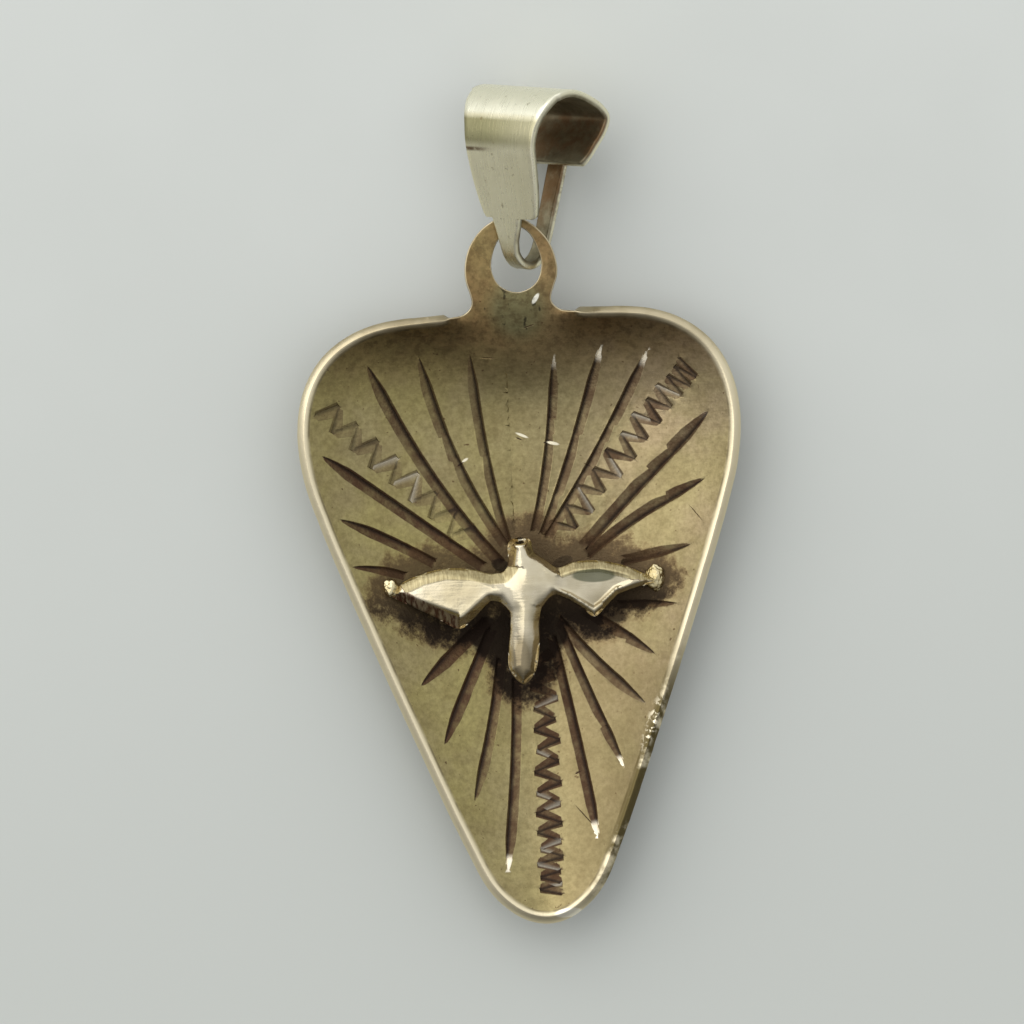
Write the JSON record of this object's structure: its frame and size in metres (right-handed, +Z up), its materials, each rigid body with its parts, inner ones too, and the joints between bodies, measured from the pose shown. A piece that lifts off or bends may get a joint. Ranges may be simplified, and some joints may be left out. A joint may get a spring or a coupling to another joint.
{
  "type": "gold dove pendant with bail",
  "caption": "Dished gold pendant plate with engraved rays, a soldered-on dove and a folded strip bail that swings in its eye.",
  "frame": {"origin": "centre of the footprint, on the surface that the pendant lies on", "axes": "+Z up out of the hollow face, +Y along the pendant toward the eye and bail, +X to the right seen from above"},
  "size_m": [0.0186, 0.0354, 0.0062],
  "materials": {
    "gold_plate": "polished yellow gold with brown tarnish in the cuts",
    "gold_dove": "bright polished pale gold",
    "gold_bail": "worn polished pale yellow gold",
    "gold_solder": "rough bright gold solder"
  },
  "bodies": {
    "pendant": {"plate": "gold_plate", "dove": "gold_dove", "wing_solder_left": "gold_solder", "wing_solder_right": "gold_solder"},
    "bail": {"bail": "gold_bail", "bail_solder": "gold_solder"}
  },
  "joints": [
    {"name": "bail_swing", "type": "hinge", "parent": "pendant", "child": "bail", "pos_m": [0.00075, 0.01146, 0.00252], "axis": [0.8517, -0.31, 0.4226], "range_deg": [-120, 32]}
  ]
}
